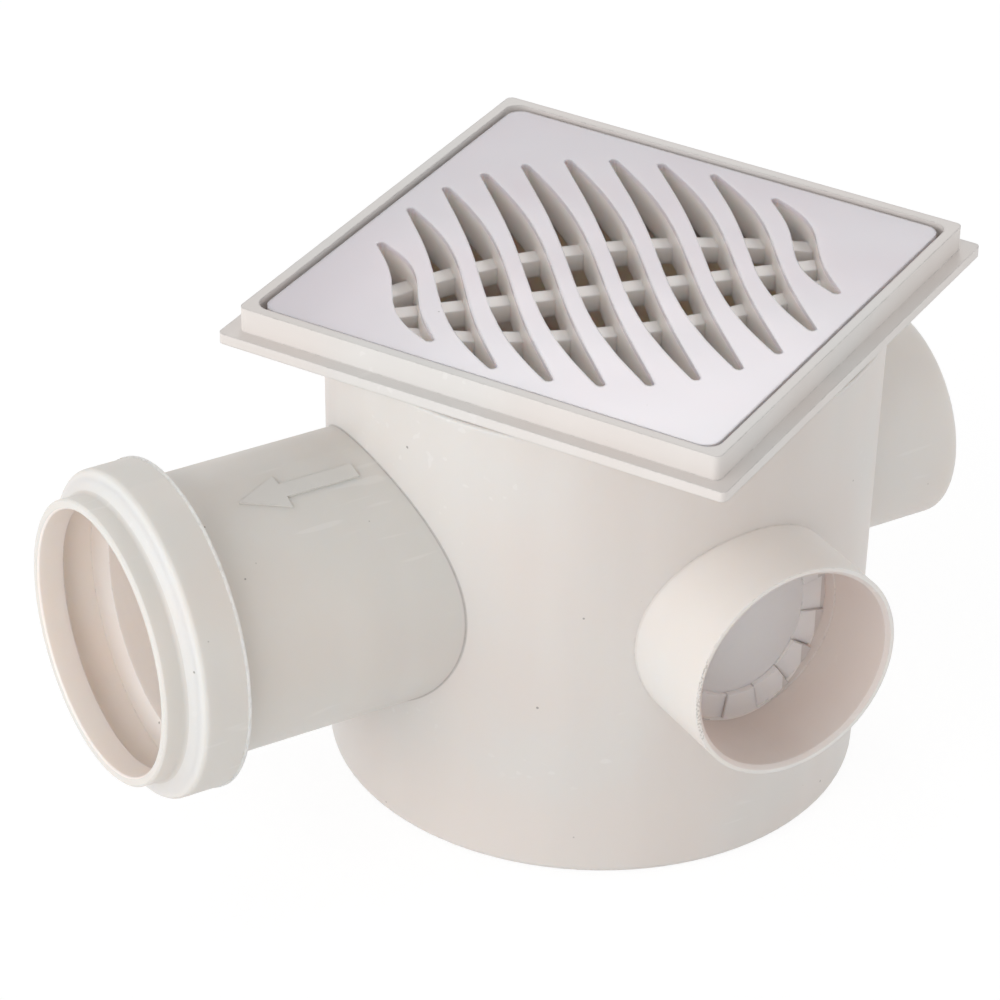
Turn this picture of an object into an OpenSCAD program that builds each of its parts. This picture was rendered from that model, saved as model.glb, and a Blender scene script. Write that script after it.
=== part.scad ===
// Floor gully trap for a wet room: a round sump with one ring-seal outlet, three closed inlets,
// a drop-in trap hood with a cleaning plug, and a square frame that turns in the mouth under its grille.
// Millimetres, +Z up. The origin is the centre of the underside. The outlet points along -X.

/* [Body] */
// Height of the body, underside to rim
body_h = 96; // [92:0.5:110]
// Outer diameter at the rim
rim_d = 106.4; // [106:0.2:109]
// Outer diameter at the foot, before its edge is rounded
foot_d = 103.6; // [103:0.2:106]
// Thickness of the side wall
body_wall = 2.8; // [2.6:0.1:3]
// Thickness of the floor
floor_t = 2.6; // [2:0.1:4]
// Rounding of the outer foot edge
foot_r = 1.5; // [1:0.5:4]
// Height of the common axis of outlet and inlets
axis_z = 52.4; // [50:0.1:56]

/* [Outlet] */
// Distance from the body axis to the outlet mouth
outlet_reach = 107.5; // [104:0.5:120]
// Bore of the outlet socket, for a DN 50 pipe of 50.7
outlet_bore_d = 51; // [50.8:0.1:51.6]
// Outer diameter of the outlet tube
outlet_tube_d = 53.8; // [53.4:0.1:56]
// Outer diameter of the lip in front of the ring housing
lip_d = 54.8; // [54:0.1:56]
// Length of the lip
lip_len = 4.6; // [3:0.1:6]
// Outer diameter of the ring housing
ring_d = 63; // [61:0.5:66]
// Length of the ring housing, front chamfer included
ring_len = 10.6; // [9:0.1:12]
// Length of the ring housing's front chamfer
ring_chamfer = 1.4; // [1:0.1:2]
// Diameter of the groove for the sealing ring
groove_d = 59.6; // [58:0.1:60]
// Width of that groove
groove_w = 7.4; // [6:0.1:8]
// Depth of the socket, from the mouth to the pipe stop
socket_depth = 43; // [38:0.5:45]
// Diameter of the passage behind the pipe stop
passage_d = 48; // [44:0.5:49]
// Height of the weir that holds the water back
weir_z = 38; // [32:0.5:44]

/* [Inlets] */
// Distance from the body axis to an inlet mouth
inlet_reach = 69; // [66:0.5:76]
// Outer diameter of an inlet
inlet_d = 43.2; // [42.6:0.1:44]
// Bore of an inlet socket, for a DN 40 pipe of 40.0
inlet_bore_d = 40.2; // [40.1:0.1:40.6]
// Chamfer that leads the pipe into an inlet
inlet_lead = 0.7; // [0.3:0.1:0.8]
// Directions of the inlets, turned from +X
inlet_turns = [0, 90, -90];
// Diameter of the knock-out disc inside the ring of pipe stops
knockout_d = 29.8; // [28:0.2:34]
// How far the knock-out disc is set back into the wall
knockout_setback = 1.6; // [1.2:0.1:1.9]
// Number of pipe stops round a knock-out disc
stop_count = 16; // [12:1:20]
// Gap between two pipe stops
stop_gap = 0.2; // [0.1:0.1:1.2]
// How far a pipe stop stands out from the disc
stop_h = 1; // [0.6:0.1:2]

/* [Frame] */
// Side of the upper square
frame_side = 100; // [98:0.5:104]
// Side of the flange that rests on the rim
flange_side = 105.6; // [103:0.2:110]
// Thickness of the flange
flange_t = 2.1; // [1.8:0.1:3]
// Height of the upper square above the flange
frame_h = 4.9; // [4:0.1:7]
// Side of the recess for the grille, at the top
recess_side = 96; // [95.2:0.2:96.2]
// How far each wall of the recess leans in, from the top to the seat
recess_draft = 0.8; // [0:0.1:0.8]
// Diameter of the throat below the grille
throat_d = 90; // [89.6:0.2:90.6]
// Length of the round spigot below the flange
spigot_len = 11.5; // [8:0.5:12]
// Thickness of the spigot
spigot_wall = 2.2; // [1.8:0.1:2.5]
// Radial play of the spigot in the mouth
spigot_play = 0.3; // [0.2:0.05:0.4]
// Clearance between flange and rim
seat_gap = 0.25; // [0.2:0.05:0.4]
// Angle to which the frame is turned on the body
frame_turn = 29.6; // [0:0.1:90]

/* [Grille] */
// Play between grille and recess at the top, on each side
grille_play = 1; // [0.9:0.1:1.4]
// How far the grille lies below the frame's top
grille_drop = 0.6; // [0.3:0.1:1.5]
// Diameter of the slotted disc
disc_d = 89.2; // [88.8:0.1:89.2]
// Depth of the slats, from the top of the grille
slat_depth = 8; // [6:0.5:10]
// Number of slots
slot_count = 10; // [4:2:10]
// Distance from slot to slot
slot_pitch = 8.68; // [8.4:0.02:9]
// Width of a slot at its middle
slot_w = 5.5; // [4:0.1:6]
// Radius of the circle on which the slots end
slot_circle_r = 43.5; // [42:0.1:43.8]
// Sideways swing of the S curve
slot_swing = 1.3; // [0:0.1:2]
// Width of the three ribs that tie the slats
rib_w = 3.9; // [3:0.1:5]
// How far the tops of the ribs lie below the grille's top
rib_drop = 4.5; // [3:0.1:5.5]
// Distance from the middle rib to the crest of a bowed rib
rib_bow_s = 15.7; // [12:0.1:20]
// Radius of the bowed ribs
rib_bow_r = 106; // [80:1:200]

/* [Trap hood] */
// Distance from the body axis to the axis of the hood's round wall
hood_x = 38; // [36:0.5:40]
// Outer radius of the hood's round wall
hood_r = 30; // [29:0.5:31]
// Thickness of the hood
hood_wall = 2; // [1.6:0.1:2.4]
// Height of the hood's top
hood_top_z = 82; // [80:0.5:83]
// Height of the hood's lower edge, where the water passes
hood_edge_z = 12; // [9:0.5:16]
// Diameter of the cleaning port in the hood's top
port_d = 24; // [20:0.5:26]
// Diameter of the cleaning plug's flange
plug_flange_d = 30; // [28:0.5:31]

/* [Hidden] */
$fn = 96;
arc_steps = 9;
slot_steps = 28;
eps = 0.01;
cream = [0.93, 0.91, 0.87];
lilac_white = [0.90, 0.89, 0.92];

rim_r = rim_d/2;
foot_outer_r = foot_d/2;
mouth_r = rim_r - body_wall;
rim_edge_r = 0.8;
mouth_edge = 0.4;
floor_fillet_r = 3;
// Radius of the tapered wall at the height of the pipes
wall_r_at_axis = foot_outer_r + (rim_r - foot_outer_r)*axis_z/body_h;

tube_r = outlet_tube_d/2;
lip_r = lip_d/2;
ring_r = ring_d/2;
groove_r = groove_d/2;
outlet_bore_r = outlet_bore_d/2;
passage_r = passage_d/2;
ring_front = outlet_reach - lip_len;
ring_back = ring_front - ring_len;
groove_front = ring_front - 1.2;
groove_back = groove_front - groove_w;
groove_slope = 1.6;
ring_edge_r = 1;
flash_h = 0.2;
flash_w = 0.5;
pipe_root = 30;

inlet_r = inlet_d/2;
inlet_bore_r = inlet_bore_d/2;
knockout_r = knockout_d/2;
stop_mid_r = (knockout_r + inlet_bore_r)/2;
// Outer radius of the thin wall behind the sockets
disc_outer_r = wall_r_at_axis - knockout_setback;
// The pipe's end meets a shallow shoulder in the plane of the foremost stops
pipe_stop_x = disc_outer_r + stop_h;
shoulder_h = 0.25;

rail_t = 2;
rail_top_z = 74;
rail_reach_x = 36.5;
hood_play = 0.2;
port_x = hood_x - 10;
port_r = port_d/2;
plug_play = 0.2;
plug_flange_t = 1.6;
plug_depth = 4;
plug_grip_w = 18;
plug_grip_t = 3;
plug_grip_h = 6;
plug_grip_r = 2;

flange_z = body_h + seat_gap;
ledge_z = flange_z + flange_t;
frame_top_z = ledge_z + frame_h;
spigot_r = mouth_r - spigot_play;
flange_corner_r = 1.2;
frame_corner_r = 1.4;
frame_edge_r = 0.6;
recess_corner_r = 3;
recess_half = recess_side/2;
seat_half = recess_half - recess_draft;

grille_top_z = frame_top_z - grille_drop;
grille_side = recess_side - 2*grille_play;
grille_t = grille_top_z - ledge_z;
grille_edge_r = 0.5;
grille_corner_r = 3.2;
slat_bottom_z = grille_top_z - slat_depth;
tip_r = 0.9;

// Points of an arc about c, from angle a0 to a1
function arc(c, r, a0, a1, steps = arc_steps) =
    [for (i = [0:steps]) let (a = a0 + (a1 - a0)*i/steps) c + r*[cos(a), sin(a)]];

// Turns what is built along +Z into the outlet's direction, on the common axis
module along_outlet() translate([0, 0, axis_z]) rotate([0, -90, 0]) children();

// The same for an inlet turned from +X
module along_inlet(turn) translate([0, 0, axis_z]) rotate(turn) rotate([0, 90, 0]) children();

// Solid inside the sump's outer face, which can be set back
module sump_outside(setback = 0) rotate_extrude() polygon(concat(
    [[0, 0]],
    arc([foot_outer_r - foot_r - setback, foot_r], foot_r, -90, 0),
    arc([rim_r - rim_edge_r - setback, body_h - rim_edge_r], rim_edge_r, 0, 90, 4),
    [[0, body_h]]));

// Hollow of the sump, drawn in from the wall by a gap
module sump_hollow(gap = 0) rotate_extrude() polygon(concat(
    [[0, floor_t]],
    arc([foot_outer_r - body_wall - gap - floor_fillet_r, floor_t + floor_fillet_r],
        floor_fillet_r, -90, 0),
    [[mouth_r - gap, body_h + eps], [0, body_h + eps]]));

// Outlet tube with its ring housing and lip
module outlet_outside() rotate_extrude() polygon(concat(
    [[0, pipe_root], [tube_r, pipe_root], [tube_r, ring_back], [ring_r + flash_h, ring_back],
     [ring_r + flash_h, ring_back + flash_w], [ring_r, ring_back + flash_w]],
    arc([ring_r - ring_edge_r, ring_front - ring_chamfer - ring_edge_r], ring_edge_r, 0, 70),
    arc([lip_r + ring_edge_r, ring_front + ring_edge_r], ring_edge_r, 250, 180),
    [[lip_r, outlet_reach - mouth_edge], [lip_r - mouth_edge, outlet_reach], [0, outlet_reach]]));

// Passage, socket, ring groove and lip bore of the outlet
module outlet_hollow() rotate_extrude() polygon([
    [0, outlet_reach - socket_depth], [outlet_bore_r, outlet_reach - socket_depth],
    [outlet_bore_r, groove_back - groove_slope], [groove_r, groove_back],
    [groove_r, groove_front], [outlet_bore_r, groove_front + mouth_edge],
    [outlet_bore_r, outlet_reach - mouth_edge], [outlet_bore_r + mouth_edge, outlet_reach],
    [outlet_bore_r + mouth_edge, outlet_reach + 1], [0, outlet_reach + 1]]);

// Way from the sump into the socket, over the weir
module outlet_passage() difference() {
    along_outlet() translate([0, 0, pipe_root])
        cylinder(r = passage_r, h = outlet_reach - socket_depth - pipe_root + eps);
    intersection() {
        sump_outside();
        translate([-2*rim_r, -rim_r, 0]) cube([2*rim_r, 2*rim_r, weir_z]);
    }
}

// How far out a pipe stop reaches: a constant height above the round wall behind it
function stop_end(a) = sqrt(pow(disc_outer_r, 2) - pow(stop_mid_r*sin(a), 2)) + stop_h;

// Ring of pipe stops, each with a flat end, stepping back with the wall
module pipe_stops() {
    half_a = 180/stop_count - stop_gap/stop_mid_r*90/PI;
    far = 2*inlet_bore_r;
    for (i = [0:stop_count - 1]) {
        a = 360*i/stop_count;
        translate([0, 0, pipe_root]) linear_extrude(stop_end(a) - pipe_root) intersection() {
            difference() {
                circle(r = inlet_bore_r + shoulder_h);
                circle(r = knockout_r);
            }
            polygon([[0, 0], far*[cos(a - half_a), sin(a - half_a)], far*[cos(a + half_a), sin(a + half_a)]]);
        }
    }
}

// Blind socket of an inlet: it ends on the knock-out disc and its ring of stops
module inlet_hollow(turn) difference() {
    along_inlet(turn) {
        translate([0, 0, pipe_root]) cylinder(r = inlet_bore_r - shoulder_h, h = inlet_reach - pipe_root);
        translate([0, 0, pipe_stop_x]) cylinder(r = inlet_bore_r, h = inlet_reach - pipe_stop_x + 1);
        translate([0, 0, inlet_reach - inlet_lead])
            cylinder(r1 = inlet_bore_r, r2 = inlet_bore_r + 2*inlet_lead, h = 2*inlet_lead);
    }
    sump_outside(knockout_setback);
    along_inlet(turn) pipe_stops();
}

// Two pairs of upright rails that hold the edges of the trap hood
module hood_rails() intersection() {
    sump_outside(body_wall/2);
    for (side = [-1, 1], face = [hood_r + hood_play, hood_r - hood_wall - hood_play - rail_t])
        translate([-rim_r, side*(face + rail_t/2) - rail_t/2, floor_t/2])
            cube([rim_r - rail_reach_x, rail_t, rail_top_z - floor_t/2]);
}

module body() color(cream) {
    difference() {
        union() {
            sump_outside();
            along_outlet() outlet_outside();
            for (turn = inlet_turns) along_inlet(turn) translate([0, 0, pipe_root])
                cylinder(r = inlet_r, h = inlet_reach - pipe_root);
        }
        sump_hollow();
        along_outlet() outlet_hollow();
        outlet_passage();
        for (turn = inlet_turns) inlet_hollow(turn);
    }
    hood_rails();
}

// Plan of the hood: a round wall with straight flanks that run back to the sump's wall
module hood_plan(inset = 0) {
    translate([-hood_x, 0]) circle(r = hood_r - inset);
    translate([-hood_x - rim_r, inset - hood_r]) square([rim_r, 2*(hood_r - inset)]);
}

module trap_hood() color(cream) intersection() {
    sump_hollow(hood_play);
    difference() {
        translate([0, 0, floor_t]) linear_extrude(hood_top_z - floor_t) hood_plan();
        translate([0, 0, floor_t - eps]) linear_extrude(hood_top_z - hood_wall - floor_t + eps)
            hood_plan(hood_wall);
        translate([-rail_reach_x, -rim_r, 0]) cube([2*rim_r, 2*rim_r, hood_edge_z]);
        translate([-port_x, 0, hood_top_z - hood_wall - eps]) cylinder(r = port_r, h = hood_wall + 2*eps);
    }
}

module cleaning_plug() color(cream) translate([-port_x, 0, hood_top_z]) {
    cylinder(d = plug_flange_d, h = plug_flange_t);
    translate([0, 0, -plug_depth]) cylinder(r = port_r - plug_play, h = plug_depth + eps);
    // upright grip
    rotate([90, 0, 90]) linear_extrude(plug_grip_t, center = true)
        slab_profile(plug_grip_w, plug_flange_t + plug_grip_h, plug_grip_r);
}

module rounded_square(side, r) {
    square([side, side - 2*r], center = true);
    square([side - 2*r, side], center = true);
    for (x = [-1, 1], y = [-1, 1]) translate([x, y]*(side/2 - r)) circle(r = r);
}

// End view of a slab whose two top edges are rounded
module slab_profile(side, h, edge_r) {
    translate([-side/2, 0]) square([side, h - edge_r]);
    translate([edge_r - side/2, 0]) square([side - 2*edge_r, h]);
    for (x = [-1, 1]) translate([x*(side/2 - edge_r), h - edge_r]) circle(r = edge_r);
}

// Square slab with rounded corners and a rounded top edge
module edged_slab(side, h, corner_r, edge_r) intersection() {
    linear_extrude(h) rounded_square(side, corner_r);
    for (turn = [0:1]) rotate(90*turn) rotate([90, 0, 0])
        linear_extrude(side + 2, center = true) slab_profile(side, h, edge_r);
}

// Space for the grille, with walls that lean in towards the seat
module recess_space() intersection() {
    translate([0, 0, ledge_z]) linear_extrude(frame_h + 1) rounded_square(recess_side, recess_corner_r);
    for (turn = [0:1]) rotate(90*turn) rotate([90, 0, 0]) linear_extrude(frame_side, center = true)
        polygon([[-recess_half, frame_top_z + 1], [-recess_half, frame_top_z], [-seat_half, ledge_z],
                 [seat_half, ledge_z], [recess_half, frame_top_z], [recess_half, frame_top_z + 1]]);
}

module frame() color(cream) rotate(frame_turn) difference() {
    union() {
        translate([0, 0, flange_z]) linear_extrude(flange_t) rounded_square(flange_side, flange_corner_r);
        translate([0, 0, flange_z]) edged_slab(frame_side, flange_t + frame_h, frame_corner_r, frame_edge_r);
        translate([0, 0, flange_z - spigot_len]) cylinder(r = spigot_r, h = spigot_len + eps);
    }
    recess_space();
    translate([0, 0, flange_z - 1]) cylinder(d = throat_d, h = flange_t + 2);
    translate([0, 0, flange_z - spigot_len - 1]) cylinder(r = spigot_r - spigot_wall, h = spigot_len + 1);
}

// Half-length of the slot whose middle lies at distance t from the grille's centre
function slot_half_len(t) = sqrt(pow(slot_circle_r, 2) - t*t) - tip_r;

// Half-width of a slot at u, from -1 at one tip to 1 at the other
function slot_half_w(t, u) = let (full = slot_w/2*pow(slot_half_len(t)/slot_circle_r, 0.15))
    tip_r + (full - tip_r)*(1 - pow(abs(u), 2.6));

// One long edge of a slot, tip to tip
function slot_edge(t, side) = [for (i = [0:slot_steps]) let (u = -cos(180*i/slot_steps))
    [u*slot_half_len(t), t - slot_swing*sin(180*u) + side*slot_half_w(t, u)]];

// Outline of a slot: two S-curved edges that run together into round tips
function slot_outline(t) = concat(
    slot_edge(t, -1),
    arc([slot_half_len(t), t], tip_r, -60, 60, 4),
    [for (i = [slot_steps:-1:0]) slot_edge(t, 1)[i]],
    arc([-slot_half_len(t), t], tip_r, 120, 240, 4));

// Ribs that tie the slats: one straight, two bowed outwards
module rib_plan() intersection() {
    circle(d = disc_d - 1);
    union() {
        square([rib_w, disc_d], center = true);
        for (side = [-1, 1]) translate([side*(rib_bow_s - rib_bow_r), 0]) difference() {
            circle(r = rib_bow_r + rib_w/2, $fn = 180);
            circle(r = rib_bow_r - rib_w/2, $fn = 180);
            translate([-side*rib_bow_r, 0]) square([2*rib_bow_r, 3*rib_bow_r], center = true);
        }
    }
}

module grille() color(lilac_white) rotate(frame_turn) {
    difference() {
        union() {
            translate([0, 0, ledge_z])
                edged_slab(grille_side, grille_t, grille_corner_r, grille_edge_r);
            translate([0, 0, slat_bottom_z]) cylinder(d = disc_d, h = ledge_z - slat_bottom_z + 1);
        }
        // the slots run along one diagonal of the square
        translate([0, 0, slat_bottom_z - 1]) linear_extrude(slat_depth + 2) rotate(45)
            for (i = [0:slot_count - 1]) polygon(slot_outline((i - (slot_count - 1)/2)*slot_pitch));
    }
    translate([0, 0, slat_bottom_z]) linear_extrude(slat_depth - rib_drop) rotate(45) rib_plan();
}

body();
trap_hood();
cleaning_plug();
frame();
grille();
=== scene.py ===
"""Looks of the gully trap: moulded PVC body and frame, glossy grille, studio floor, light and camera."""
import math

import bmesh
import bpy
from mathutils import Matrix, Quaternion, Vector


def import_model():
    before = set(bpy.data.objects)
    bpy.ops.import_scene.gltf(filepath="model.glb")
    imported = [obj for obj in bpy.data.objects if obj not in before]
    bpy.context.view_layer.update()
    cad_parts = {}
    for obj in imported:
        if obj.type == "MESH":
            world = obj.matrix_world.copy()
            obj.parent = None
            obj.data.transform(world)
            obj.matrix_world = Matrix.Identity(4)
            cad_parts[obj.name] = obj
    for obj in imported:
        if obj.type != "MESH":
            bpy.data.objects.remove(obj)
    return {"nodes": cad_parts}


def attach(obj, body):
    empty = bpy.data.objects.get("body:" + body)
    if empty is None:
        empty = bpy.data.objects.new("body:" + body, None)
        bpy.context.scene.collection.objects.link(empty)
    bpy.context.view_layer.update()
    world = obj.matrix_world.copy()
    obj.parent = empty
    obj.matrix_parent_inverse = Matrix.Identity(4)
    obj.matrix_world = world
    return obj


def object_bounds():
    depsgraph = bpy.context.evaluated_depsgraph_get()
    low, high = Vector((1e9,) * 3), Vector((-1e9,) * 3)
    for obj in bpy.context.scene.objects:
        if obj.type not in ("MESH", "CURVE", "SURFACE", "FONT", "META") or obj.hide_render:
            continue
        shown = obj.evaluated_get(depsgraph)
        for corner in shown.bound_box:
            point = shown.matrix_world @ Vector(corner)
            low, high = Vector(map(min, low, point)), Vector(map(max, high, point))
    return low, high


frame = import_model()

MM = 0.001
cad_low, cad_high = [Vector(corner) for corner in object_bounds()]

# What the part's own sizes give, in metres
PIPE_AXIS_Z = 52.4 * MM
OUTLET_TUBE_R = 26.9 * MM
OUTLET_BORE_R = 25.5 * MM
LIP_R = 27.4 * MM
GROOVE_R = 29.8 * MM
INLET_BORE_R = 20.1 * MM
INLET_REACH = 69 * MM
RIM_R = 53.2 * MM
FOOT_R = 51.8 * MM
BODY_H = 96 * MM
WALL_T = 2.8 * MM
OUTLET_MOUTH_X = cad_low.x
CHAMFER_X = OUTLET_MOUTH_X + 5.2 * MM
CHAMFER_HALF_W = 0.7 * MM
GROOVE_X = OUTLET_MOUTH_X + 10.4 * MM
GROOVE_HALF_W = 4.6 * MM
RING_REAR_X = OUTLET_MOUTH_X + 15.2 * MM
FLASH_X = RING_REAR_X - 0.25 * MM
FLASH_HALF_W = 0.3 * MM
GRILLE_TOP_Z = cad_high.z - 0.6 * MM

# Colours, as linear red, green and blue
BODY_CREAM = (0.735, 0.692, 0.662)
TUBE_CREAM = (0.720, 0.690, 0.655)
# Painted light: hollows and the parts inside the sump are coloured far paler than the body, for light that
# the thin walls let in
INNER_PAINTED_LIGHT_CREAM = (0.96, 0.86, 0.81)
# Painted shade: the inlets' bores are coloured darker and warmer than the body
BORE_PAINTED_SHADE_CREAM = (0.69, 0.625, 0.60)
# Painted light: the inlets' stops and discs are coloured paler
STOP_PAINTED_LIGHT_CREAM = (0.93, 0.86, 0.84)
FRAME_CREAM = (0.735, 0.702, 0.680)
GRILLE_WHITE = (0.690, 0.652, 0.690)
# Painted light: the grille's slat sides and ribs below the top are coloured far paler
SLAT_SIDE_PAINTED_LIGHT_CREAM = (0.98, 0.92, 0.88)
# Pale wear, streaks and flash, and also painted light: edge highlights, the ring's chamfer and the inlets'
# outsides
WEAR_AND_PAINTED_LIGHT_WHITE = (0.86, 0.84, 0.82)
# Painted highlight along the grille's edges
GRILLE_EDGE_PAINTED_HIGHLIGHT = (0.88, 0.87, 0.89)
# Real specks and chips, and also the painted shade along the tube's joint with the drum
DIRT_AND_PAINTED_SHADE_BROWN = (0.10, 0.085, 0.07)
FLOOR_WHITE = (0.93, 0.93, 0.93)
WHITE = (1, 1, 1)

# Light and floor
SKY_LEVEL = 0.565
PAPER_GLOW = 1.08
PAPER_GLOW_SHARE = 0.8
FLOOR_HALF = 4
FLOOR_GAP = 0.05 * MM

# Camera
LENS_MM = 163.75
CAMERA_AZIMUTH = -31.08
CAMERA_ELEVATION = 32.22
CAMERA_ROLL = 1.37
CAMERA_DISTANCE = 0.8736
AIM_OFFSET = Vector((-1.3, 5.0, 2.6)) * MM


# ---------------------------------------------------------------- shader maths

class Value:
    """An output of a node. Python's operators on it add Math nodes."""

    def __init__(self, nodes, socket):
        self.nodes = nodes
        self.socket = socket

    def other(self, output):
        """Another output of the same node."""
        return Value(self.nodes, self.socket.node.outputs[output])

    def __add__(self, other):
        return self.nodes.math("ADD", self, other)

    def __radd__(self, other):
        return self.nodes.math("ADD", other, self)

    def __sub__(self, other):
        return self.nodes.math("SUBTRACT", self, other)

    def __rsub__(self, other):
        return self.nodes.math("SUBTRACT", other, self)

    def __mul__(self, other):
        return self.nodes.math("MULTIPLY", self, other)

    def __rmul__(self, other):
        return self.nodes.math("MULTIPLY", other, self)

    def __lt__(self, other):
        return self.nodes.math("LESS_THAN", self, other)

    def __gt__(self, other):
        return self.nodes.math("GREATER_THAN", self, other)

    def __or__(self, other):
        """The larger of two masks."""
        return self.nodes.math("MAXIMUM", self, other)


class Nodes:
    """The emptied node tree of a material or world, and the calls that fill it."""

    def __init__(self, holder):
        holder.use_nodes = True
        self.tree = holder.node_tree
        self.tree.nodes.clear()

    def plug(self, value, socket):
        if isinstance(value, Value):
            self.tree.links.new(value.socket, socket)
        elif socket.type == "RGBA" and len(value) == 3:
            socket.default_value = (*value, 1)
        else:
            socket.default_value = value

    def node(self, kind, inputs=None, output=0, **settings):
        """Adds a node: its settings first, then the values or links of its sockets."""
        made = self.tree.nodes.new(kind)
        for setting, value in settings.items():
            setattr(made, setting, value)
        for socket, value in (inputs or {}).items():
            self.plug(value, made.inputs[socket])
        return Value(self, made.outputs[output]) if made.outputs else None

    def math(self, operation, *values):
        return self.node("ShaderNodeMath", dict(enumerate(values)), operation=operation)


class Finish(Nodes):
    """A piece's material, with its edges rounded, and the patterns and masks that it is made of."""

    def __init__(self, name, edge_r):
        self.material = bpy.data.materials.new(name)
        super().__init__(self.material)
        self.place = self.node("ShaderNodeTexCoord", output="Object")
        self.rounded = self.node("ShaderNodeBevel", {"Radius": edge_r}, samples=4)
        normal = self.node("ShaderNodeNewGeometry", output="Normal")
        turn = self.node("ShaderNodeVectorMath", {0: self.rounded, 1: normal}, output="Value",
                         operation="DOT_PRODUCT")
        self.edge = self.step(1 - turn, 0.01, 0.2)

    def step(self, value, low, high):
        """Runs smoothly from 0 at low to 1 at high."""
        return self.node("ShaderNodeMapRange", {"Value": value, "From Min": low, "From Max": high},
                         interpolation_type="SMOOTHSTEP")

    def mix(self, share, first, second, blend="MIX"):
        """Mixes two colours by share."""
        return self.node("ShaderNodeMix", {0: share, 6: first, 7: second}, output=2,
                         data_type="RGBA", blend_type=blend)

    def along(self, axis):
        """Coordinate along one axis, in metres."""
        return self.node("ShaderNodeSeparateXYZ", {"Vector": self.place}, output=axis.upper())

    def away_from(self, axis, height=0):
        """Distance from a line along an axis, which crosses the part's middle line at that height."""
        kept = {"x": (0, 1, 1), "y": (1, 0, 1), "z": (1, 1, 0)}[axis]
        flat = self.node("ShaderNodeMapping", {"Vector": self.place, "Location": (0, 0, -height * kept[2]),
                                               "Scale": kept})
        return self.node("ShaderNodeVectorMath", {0: flat}, output="Value", operation="LENGTH")

    def band(self, value, middle, half, soft):
        """Mask that is 1 within half of a middle value and fades out over a soft margin."""
        return 1 - self.step(self.math("ABSOLUTE", value - middle), half, half + soft)

    def stretched(self, x, y, z):
        """Object coordinates, with each axis scaled."""
        return self.node("ShaderNodeMapping", {"Vector": self.place, "Scale": (x, y, z)})

    def noise(self, size, detail=0, place=None):
        """Noise from 0 to 1 whose features are about size across, in metres."""
        return self.node("ShaderNodeTexNoise", {"Vector": place or self.place, "Scale": 1 / size,
                                                "Detail": detail})

    def dots(self, spacing, radius, share):
        """Mask of round dots in a share of the cells of a jittered grid, each with its own size."""
        distance = self.node("ShaderNodeTexVoronoi", {"Vector": self.place, "Scale": 1 / spacing},
                             output="Distance")
        lot = self.node("ShaderNodeSeparateColor", {"Color": distance.other("Color")}, output="Red")
        size = (1 - lot * (1 / share)) * radius
        return 1 - self.step(distance * spacing - size, -0.5 * radius, 0)

    def rubs(self, width, turn, patches):
        """Mask of short pale rubs along one direction, in a few patches."""
        along = self.node("ShaderNodeMapping", {"Vector": self.place, "Rotation": turn,
                                                "Scale": (0.12, 1, 1)})
        return self.step(self.noise(width, 0, along), 0.72, 0.80) * patches

    def bump(self, height_mm):
        """Normal of the rounded edges with a relief, whose height is in millimetres."""
        return self.node("ShaderNodeBump", {"Strength": 1, "Distance": MM, "Height": height_mm,
                                            "Normal": self.rounded})

    def surface(self, **inputs):
        """Ends the tree in one Principled shader. An underscore in a name stands for a space."""
        named = {name.replace("_", " "): value for name, value in inputs.items()}
        shader = self.node("ShaderNodeBsdfPrincipled", named, output="BSDF")
        self.node("ShaderNodeOutputMaterial", {"Surface": shader})
        return self.material


# ---------------------------------------------------------------- finishes

def moulded_pvc(pvc, colour, roughness, relief=None, glow=0):
    """Satin PVC: cloudy tone, faint flow streaks, orange-peel skin, specks, nicked edges, rubs, and edges
    lightened partly as wear, partly as painted highlight.
    """
    clouds = pvc.noise(32 * MM, 1)
    streaks = pvc.noise(9 * MM, 1, pvc.stretched(1, 1, 0.12))
    peel = pvc.noise(1.1 * MM)
    specks = pvc.dots(3 * MM, 0.36 * MM, 0.12)
    rubs = pvc.rubs(1.6 * MM, (0.4, 0.9, 0.5), pvc.step(clouds, 0.52, 0.60))
    nicks = pvc.edge * pvc.step(peel, 0.60, 0.70)

    tint = pvc.mix(pvc.step(clouds, 0.35, 0.65), (1.0, 0.98, 0.965), (0.985, 1.0, 1.0))
    base = pvc.mix(1.0, colour, tint, blend="MULTIPLY")
    # Edges lightened partly as pale wear and partly as painted highlight; streaks and rubs are real
    base = pvc.mix(pvc.step(streaks, 0.4, 0.75) * 0.08 + pvc.edge * 0.45 + rubs * 0.25, base, WEAR_AND_PAINTED_LIGHT_WHITE)
    base = pvc.mix(specks * 0.6 + nicks * 0.2, base, DIRT_AND_PAINTED_SHADE_BROWN)

    skin = peel * 0.008 + pvc.noise(11 * MM) * 0.05
    return pvc.surface(
        Base_Color=base,
        Subsurface_Weight=glow,
        Subsurface_Radius=(1.0, 0.80, 0.65),
        Subsurface_Scale=4 * MM,
        Roughness=roughness + clouds * 0.08 + pvc.edge * 0.08 + rubs * 0.2,
        Normal=pvc.bump(skin if relief is None else skin + relief))


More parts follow.
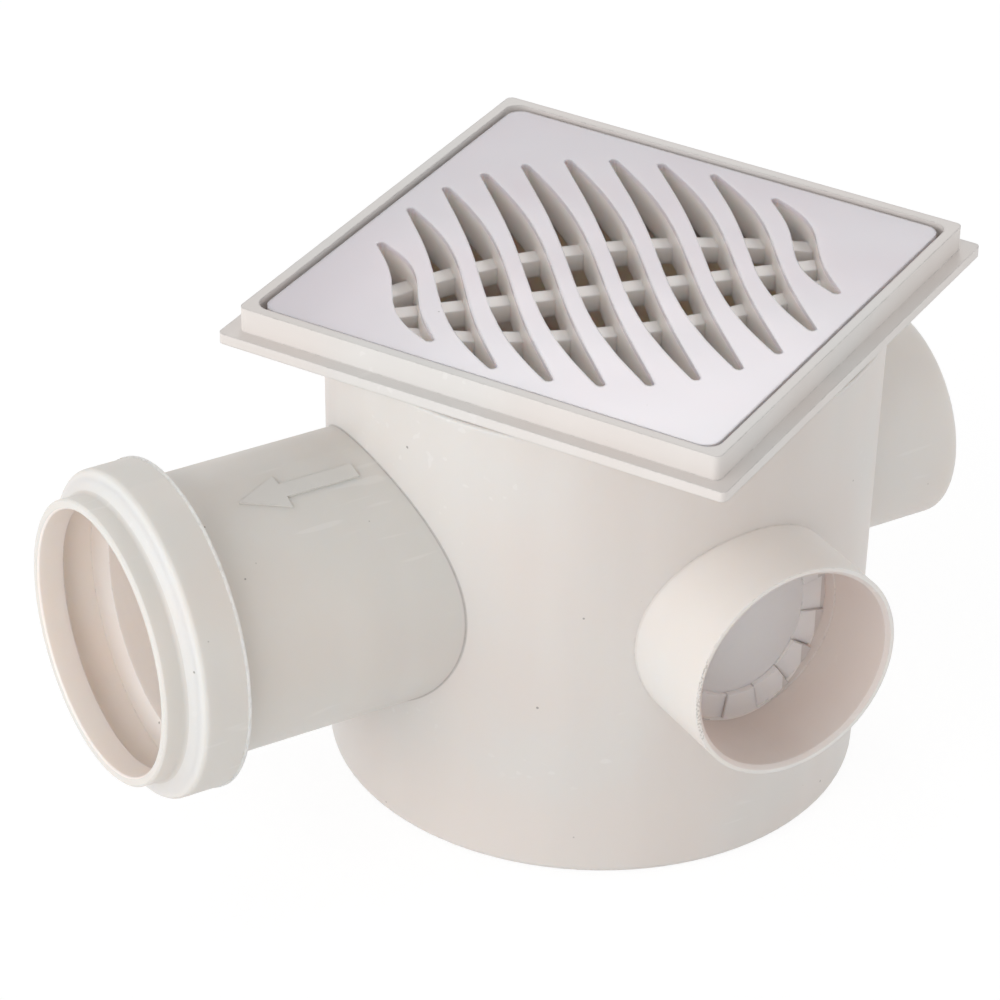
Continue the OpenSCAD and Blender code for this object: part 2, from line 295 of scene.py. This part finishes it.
def body_finish():
    """The outlet tube is a shade greyer than the sump. Painted light makes its bore, groove, the sump's
    well, the inlets' outsides, their stops and the ring's chamfer paler; painted shade makes the inlets'
    bores darker and warmer and darkens the tube's joint with the drum."""
    pvc = Finish("body_pvc", 0.35 * MM)
    x, y, z = pvc.along("x"), pvc.along("y"), pvc.along("z")
    from_centre = pvc.away_from("z")
    from_outlet = pvc.away_from("x", PIPE_AXIS_Z)
    from_inlet = pvc.away_from("y", PIPE_AXIS_Z)

    left = x < 0
    wall_r = z * ((RIM_R - FOOT_R) / BODY_H) + FOOT_R
    beyond_wall = from_centre > RIM_R + 0.1 * MM
    tube = left * beyond_wall * (from_outlet < 1.3 * OUTLET_TUBE_R)
    socket = tube * (from_outlet < OUTLET_BORE_R + 0.3 * MM)
    groove = pvc.band(x, GROOVE_X, GROOVE_HALF_W, 0.05 * MM) * (from_outlet < GROOVE_R + 0.2 * MM)
    chamfer_painted_light = pvc.band(x, CHAMFER_X, CHAMFER_HALF_W, 0.4 * MM) * (from_outlet > LIP_R + 0.5 * MM)
    well = from_centre < FOOT_R - 0.5 * WALL_T
    mouth_nicks = (y < 0.1 * MM - INLET_REACH) * (x < -19.5 * MM) * pvc.step(pvc.noise(0.5 * MM), 0.48, 0.6)
    socket_r = INLET_BORE_R + 0.75 * MM
    socket_start = FOOT_R - 3 * WALL_T
    inlets = (((pvc.math("ABSOLUTE", y) > socket_start) * (from_inlet < socket_r))
              | ((x > socket_start) * (from_outlet < socket_r)))

    colour = pvc.mix(tube, BODY_CREAM, TUBE_CREAM)
    # Painted light: the inlets' outer collars are lightened towards white
    colour = pvc.mix(beyond_wall * (1 - tube) * 0.3, colour, WEAR_AND_PAINTED_LIGHT_WHITE)
    # Painted light: the ring's chamfer face is lightened towards white
    colour = pvc.mix(chamfer_painted_light * 0.5, colour, WEAR_AND_PAINTED_LIGHT_WHITE)
    # Painted light: the outlet's socket and groove and the sump's well are coloured paler
    colour = pvc.mix(socket | groove | well, colour, INNER_PAINTED_LIGHT_CREAM)
    # Painted shade darkens the inlets' bores; painted light makes their stops and discs paler
    colour = pvc.mix(inlets, colour, pvc.mix(from_centre > FOOT_R + 0.6 * MM, STOP_PAINTED_LIGHT_CREAM, BORE_PAINTED_SHADE_CREAM))
    # Painted shade: a dark line in the crease where the outlet tube meets the drum
    joint_painted_shade = (left * pvc.band(from_centre - wall_r, 0, 0.1 * MM, 0.25 * MM)
             * pvc.band(from_outlet, OUTLET_TUBE_R, 0.1 * MM, 0.25 * MM))
    flash = pvc.band(x, FLASH_X, FLASH_HALF_W, 0.15 * MM) * (from_outlet > GROOVE_R + 1 * MM)
    ragged = pvc.step(pvc.noise(1.6 * MM), 0.40, 0.60)
    # Painted shade at the joint; the mouth's nicks are real dark chips
    colour = pvc.mix(joint_painted_shade * 0.3 + mouth_nicks * 0.3, colour, DIRT_AND_PAINTED_SHADE_BROWN)
    colour = pvc.mix(flash * (0.4 + ragged * 0.5), colour, WEAR_AND_PAINTED_LIGHT_WHITE)
    return moulded_pvc(pvc, colour, 0.42, flash * ragged * 0.1, glow=0.5)


def arrow_finish():
    """As the tube, but without glow: the arrow is too thin to pass light on."""
    return moulded_pvc(Finish("arrow_pvc", 0.15 * MM), TUBE_CREAM, 0.42)


# Painted light: the trap hood and cleaning plug inside the sump are coloured far paler than the body
def inner_finish():
    return moulded_pvc(Finish("inner_pvc", 0.3 * MM), INNER_PAINTED_LIGHT_CREAM, 0.45, glow=0.5)


def frame_finish():
    return moulded_pvc(Finish("frame_pvc", 0.45 * MM), FRAME_CREAM, 0.40)


def grille_finish():
    """Glossy cool white: slow sink waves bend its reflections; the slat sides are duller and warmer, and
    painted light makes them paler; painted highlight lightens the edges.
    """
    gloss = Finish("grille_plastic", 0.55 * MM)
    clouds = gloss.noise(26 * MM, 1)
    specks = gloss.dots(4 * MM, 0.26 * MM, 0.10)
    rubs = gloss.rubs(1.2 * MM, (0.2, 0.1, 1.1), gloss.step(clouds, 0.50, 0.6))
    below_top_painted_light = 1 - gloss.step(gloss.along("z"), GRILLE_TOP_Z - 2.0 * MM, GRILLE_TOP_Z - 0.3 * MM)

    tint = gloss.mix(gloss.step(clouds, 0.35, 0.65), (1.01, 0.985, 0.99), (1, 1, 1))
    base = gloss.mix(1.0, GRILLE_WHITE, tint, blend="MULTIPLY")
    # Painted light: everything below the grille's top is coloured paler
    base = gloss.mix(below_top_painted_light, base, SLAT_SIDE_PAINTED_LIGHT_CREAM)
    # Painted highlight: the grille's edges are lightened towards white
    base = gloss.mix(gloss.edge * 0.3, base, GRILLE_EDGE_PAINTED_HIGHLIGHT)
    base = gloss.mix(specks * 0.5, base, DIRT_AND_PAINTED_SHADE_BROWN)

    waves = gloss.noise(20 * MM, 0) * 0.10 + gloss.noise(5 * MM, 0) * 0.006
    return gloss.surface(
        Base_Color=base,
        Subsurface_Weight=0.5,
        Subsurface_Radius=(1.0, 0.80, 0.70),
        Subsurface_Scale=4 * MM,
        Roughness=0.18 + clouds * 0.06 + rubs * 0.02 + below_top_painted_light * 0.15,
        Normal=gloss.bump(waves))


def studio_floor():
    """White floor: white paper to the camera and in reflections, and it still takes a soft shadow."""
    paper = bpy.data.materials.new("floor_paper")
    nodes = Nodes(paper)
    lit = nodes.node("ShaderNodeBsdfDiffuse", {"Color": FLOOR_WHITE})
    glow = nodes.node("ShaderNodeEmission", {"Color": WHITE, "Strength": PAPER_GLOW})
    camera_ray = nodes.node("ShaderNodeLightPath", output="Is Camera Ray")
    seen = camera_ray | camera_ray.other("Is Glossy Ray")
    shader = nodes.node("ShaderNodeMixShader", {0: seen * PAPER_GLOW_SHARE, 1: lit, 2: glow})
    nodes.node("ShaderNodeOutputMaterial", {"Surface": shader})
    return paper


# ---------------------------------------------------------------- pieces

def dress(node, material):
    """Gives a CAD node its finish."""
    slots = frame["nodes"][node].data.materials
    slots.clear()
    slots.append(material)


def piece(name, shape, material, body):
    """Makes an object of a bmesh and lets it ride on a body."""
    mesh = bpy.data.meshes.new(name)
    shape.to_mesh(mesh)
    shape.free()
    mesh.materials.append(material)
    made = bpy.data.objects.new(name, mesh)
    bpy.context.scene.collection.objects.link(made)
    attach(made, body)
    return made


def flow_arrow(material):
    """Raised arrow on the crown of the outlet tube, along the way the water leaves."""
    length, head_len = 24 * MM, 9 * MM
    shaft_w, head_w = 3.4 * MM, 8.4 * MM
    height, root = 0.4 * MM, 0.3 * MM
    tail_x = OUTLET_MOUTH_X + 50 * MM
    crown_turn = math.radians(14)

    shape = bmesh.new()
    outline = [(0, shaft_w), (length - head_len, shaft_w), (length - head_len, head_w), (length, 0),
               (length - head_len, -head_w), (length - head_len, -shaft_w), (0, -shaft_w)]
    corners = [shape.verts.new((-x, y / 2, 0)) for x, y in outline]
    shape.faces.new(corners)
    bmesh.ops.recalc_face_normals(shape, faces=shape.faces)
    bmesh.ops.triangulate(shape, faces=shape.faces)
    bmesh.ops.subdivide_edges(shape, edges=shape.edges, cuts=7, use_grid_fill=True)
    top = bmesh.ops.extrude_face_region(shape, geom=shape.faces[:])
    raised = [v for v in top["geom"] if isinstance(v, bmesh.types.BMVert)]
    bmesh.ops.translate(shape, verts=raised, vec=(0, 0, height + root))
    bmesh.ops.recalc_face_normals(shape, faces=shape.faces)
    for vert in shape.verts:
        radius = OUTLET_TUBE_R - root + vert.co.z
        turn = vert.co.y / OUTLET_TUBE_R - crown_turn
        vert.co = (tail_x + vert.co.x, radius * math.sin(turn), PIPE_AXIS_Z + radius * math.cos(turn))
    return piece("flow_arrow", shape, material, "sump")


# ---------------------------------------------------------------- studio

def floor():
    shape = bmesh.new()
    bmesh.ops.create_grid(shape, x_segments=1, y_segments=1, size=FLOOR_HALF)
    bmesh.ops.translate(shape, verts=shape.verts, vec=(0, 0, cad_low.z - FLOOR_GAP))
    mesh = bpy.data.meshes.new("floor")
    shape.to_mesh(mesh)
    shape.free()
    mesh.materials.append(studio_floor())
    ground = bpy.data.objects.new("floor", mesh)
    bpy.context.scene.collection.objects.link(ground)


def direction(azimuth, elevation):
    """Unit vector from the part to a viewer at that azimuth and elevation, in degrees."""
    turn, rise = math.radians(azimuth), math.radians(elevation)
    return Vector((math.sin(turn) * math.cos(rise), -math.cos(turn) * math.cos(rise), math.sin(rise)))


def softbox(name, azimuth, elevation, distance, size, watts):
    """White area light that looks at the part, from an azimuth and elevation like the camera's."""
    lamp = bpy.data.lights.new(name, "AREA")
    lamp.shape = "RECTANGLE"
    lamp.size, lamp.size_y = size
    lamp.energy = watts
    holder = bpy.data.objects.new(name, lamp)
    aim = (cad_low + cad_high) / 2
    holder.location = aim + distance * direction(azimuth, elevation)
    holder.rotation_euler = (aim - holder.location).to_track_quat("-Z", "Y").to_euler()
    bpy.context.scene.collection.objects.link(holder)


def world():
    """Even soft light from all sides, which the camera and reflections see as white."""
    sky = bpy.data.worlds.new("studio")
    bpy.context.scene.world = sky
    nodes = Nodes(sky)
    soft = nodes.node("ShaderNodeBackground", {"Color": WHITE, "Strength": SKY_LEVEL})
    white = nodes.node("ShaderNodeBackground", {"Color": WHITE, "Strength": 1})
    camera_ray = nodes.node("ShaderNodeLightPath", output="Is Camera Ray")
    seen = camera_ray | camera_ray.other("Is Glossy Ray")
    shader = nodes.node("ShaderNodeMixShader", {0: seen, 1: soft, 2: white})
    nodes.node("ShaderNodeOutputWorld", {"Surface": shader})


def lights():
    softbox("key", azimuth=-78, elevation=15, distance=1.0, size=(1.7, 0.8), watts=8)
    softbox("fill", azimuth=70, elevation=14, distance=1.0, size=(0.9, 0.6), watts=1.85)
    softbox("back_card", azimuth=144, elevation=38, distance=1.0, size=(0.26, 0.16), watts=0.9)


def camera():
    lens = bpy.data.cameras.new("camera")
    lens.lens = LENS_MM
    lens.sensor_width = 36
    lens.clip_start = 0.01
    lens.clip_end = 20
    view = bpy.data.objects.new("camera", lens)
    aim = (cad_low + cad_high) / 2 + AIM_OFFSET
    back = direction(CAMERA_AZIMUTH, CAMERA_ELEVATION)
    level = (-back).to_track_quat("-Z", "Y")
    rolled = level @ Quaternion((0, 0, 1), math.radians(CAMERA_ROLL))
    view.matrix_world = Matrix.Translation(aim + CAMERA_DISTANCE * back) @ rolled.to_matrix().to_4x4()
    bpy.context.scene.collection.objects.link(view)
    bpy.context.scene.camera = view


camera()
inner_pvc = inner_finish()
dress("body", body_finish())
dress("trap_hood", inner_pvc)
dress("cleaning_plug", inner_pvc)
dress("frame", frame_finish())
dress("grille", grille_finish())
flow_arrow(arrow_finish())

floor()
world()
lights()
bpy.context.scene.view_settings.view_transform = "Standard"
